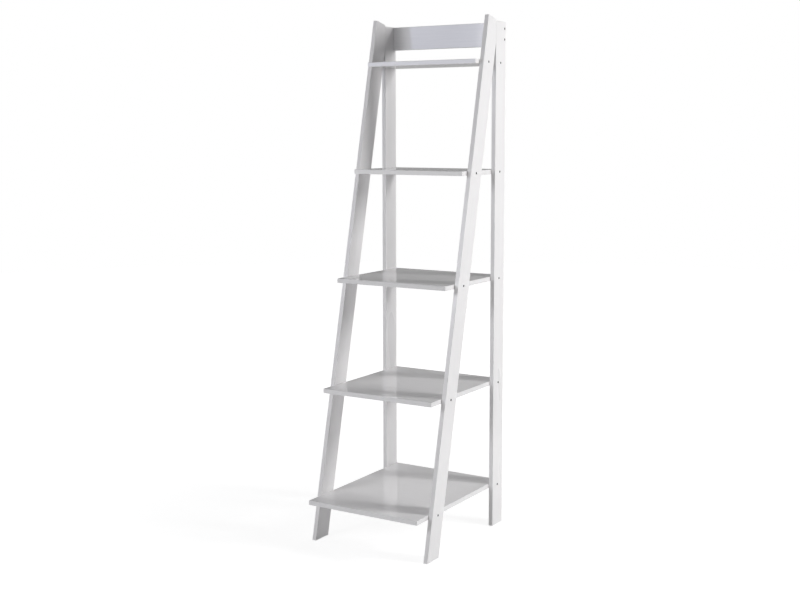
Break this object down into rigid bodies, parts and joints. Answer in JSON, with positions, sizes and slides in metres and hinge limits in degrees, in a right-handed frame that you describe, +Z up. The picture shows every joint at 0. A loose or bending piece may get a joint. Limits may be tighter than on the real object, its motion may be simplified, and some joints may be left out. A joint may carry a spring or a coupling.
{
  "type": "ladder bookcase",
  "caption": "Tall white ladder bookcase with flat shelves that deepen toward the floor, screwed between A-shaped side frames of raked front legs and upright rear legs.",
  "frame": {"origin": "on the floor, under the middle of the overall width and depth", "axes": "+Z up, +X to the right seen from the front, front toward -Y"},
  "size_m": [0.472, 0.5814, 1.829],
  "materials": {
    "white_paint": "gloss white lacquer over wood, faint grain",
    "dark_steel": "dark, satin",
    "dowel_wood": "bare beech"
  },
  "bodies": {
    "root": {"left_front_leg": "white_paint", "left_rear_leg": "white_paint", "right_front_leg": "white_paint", "right_rear_leg": "white_paint", "top_back_rail": "white_paint", "shelf_1": "white_paint", "shelf_2": "white_paint", "shelf_3": "white_paint", "shelf_4": "white_paint", "shelf_5": "white_paint", "screw_shelf_1_left_front": "dark_steel", "screw_shelf_1_left_rear": "dark_steel", "screw_shelf_1_right_front": "dark_steel", "screw_shelf_1_right_rear": "dark_steel", "screw_shelf_2_left_front": "dark_steel", "screw_shelf_2_left_rear": "dark_steel", "screw_shelf_2_right_front": "dark_steel", "screw_shelf_2_right_rear": "dark_steel", "screw_shelf_3_left_front": "dark_steel", "screw_shelf_3_left_rear": "dark_steel", "screw_shelf_3_right_front": "dark_steel", "screw_shelf_3_right_rear": "dark_steel", "screw_shelf_4_left_front": "dark_steel", "screw_shelf_4_left_rear": "dark_steel", "screw_shelf_4_right_front": "dark_steel", "screw_shelf_4_right_rear": "dark_steel", "screw_shelf_5_left_front": "dark_steel", "screw_shelf_5_left_rear": "dark_steel", "screw_shelf_5_right_front": "dark_steel", "screw_shelf_5_right_rear": "dark_steel", "screw_rail_left_lower": "dark_steel", "screw_rail_left_upper": "dark_steel", "screw_rail_right_lower": "dark_steel", "screw_rail_right_upper": "dark_steel", "left_dowel_lower": "dowel_wood", "left_dowel_upper": "dowel_wood", "right_dowel_lower": "dowel_wood", "right_dowel_upper": "dowel_wood"}
  },
  "joints": []
}
